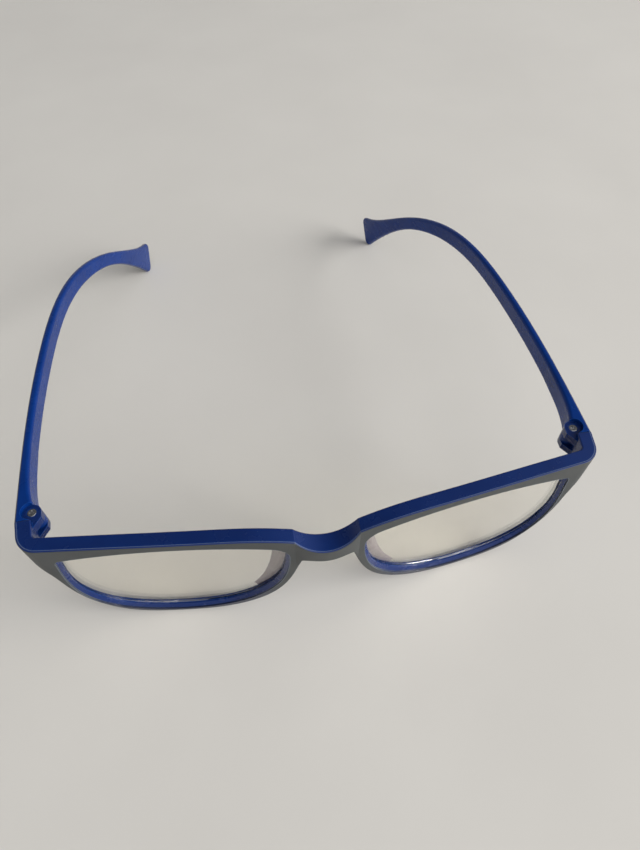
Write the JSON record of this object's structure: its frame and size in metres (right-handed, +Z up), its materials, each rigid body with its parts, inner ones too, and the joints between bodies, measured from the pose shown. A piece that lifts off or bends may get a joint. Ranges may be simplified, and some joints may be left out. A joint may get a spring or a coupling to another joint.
{
  "type": "glasses",
  "caption": "Two-tone moulded spectacles with clear curved lenses, saddle bridge, soft nose pads and folding temples with turned-down tips.",
  "frame": {"origin": "bottom centre of the open pair's bounding box, on the surface that the rims and tips rest on", "axes": "+X towards the wearer's left, +Y from the front towards the temple tips, +Z up"},
  "size_m": [0.1312, 0.151, 0.0406],
  "materials": {
    "blue_plastic": "satin dark blue injection-moulded nylon",
    "grey_face": "matt dark grey face layer",
    "lens": "clear polished plastic lens with a faint warm tint",
    "temple_blue": "satin blue injection-moulded nylon",
    "temple_grey": "matt dark grey outer layer",
    "pad": "soft translucent pale silicone",
    "screw_steel": "bright stainless steel",
    "nut_steel": "stainless steel",
    "bush_steel": "turned steel"
  },
  "bodies": {
    "front": {"front_frame": "blue_plastic", "front_skin": "grey_face", "lens_left": "lens", "lens_right": "lens", "nose_pad_left": "pad", "nose_pad_right": "pad", "hinge_screw_left": "screw_steel", "hinge_screw_right": "screw_steel", "hinge_nut_left": "nut_steel", "hinge_nut_right": "nut_steel"},
    "left_temple": {"temple_left": "temple_blue", "temple_skin_left": "temple_grey", "hinge_bush_left": "bush_steel"},
    "right_temple": {"temple_right": "temple_blue", "temple_skin_right": "temple_grey", "hinge_bush_right": "bush_steel"}
  },
  "joints": [
    {"name": "left_fold", "type": "hinge", "parent": "front", "child": "left_temple", "pos_m": [0.06193, -0.05633, 0.0362], "axis": [0, 0, 1], "range_deg": [0, 83]},
    {"name": "right_fold", "type": "hinge", "parent": "front", "child": "right_temple", "pos_m": [-0.06193, -0.05633, 0.0362], "axis": [0, 0, -1], "range_deg": [0, 76]}
  ]
}
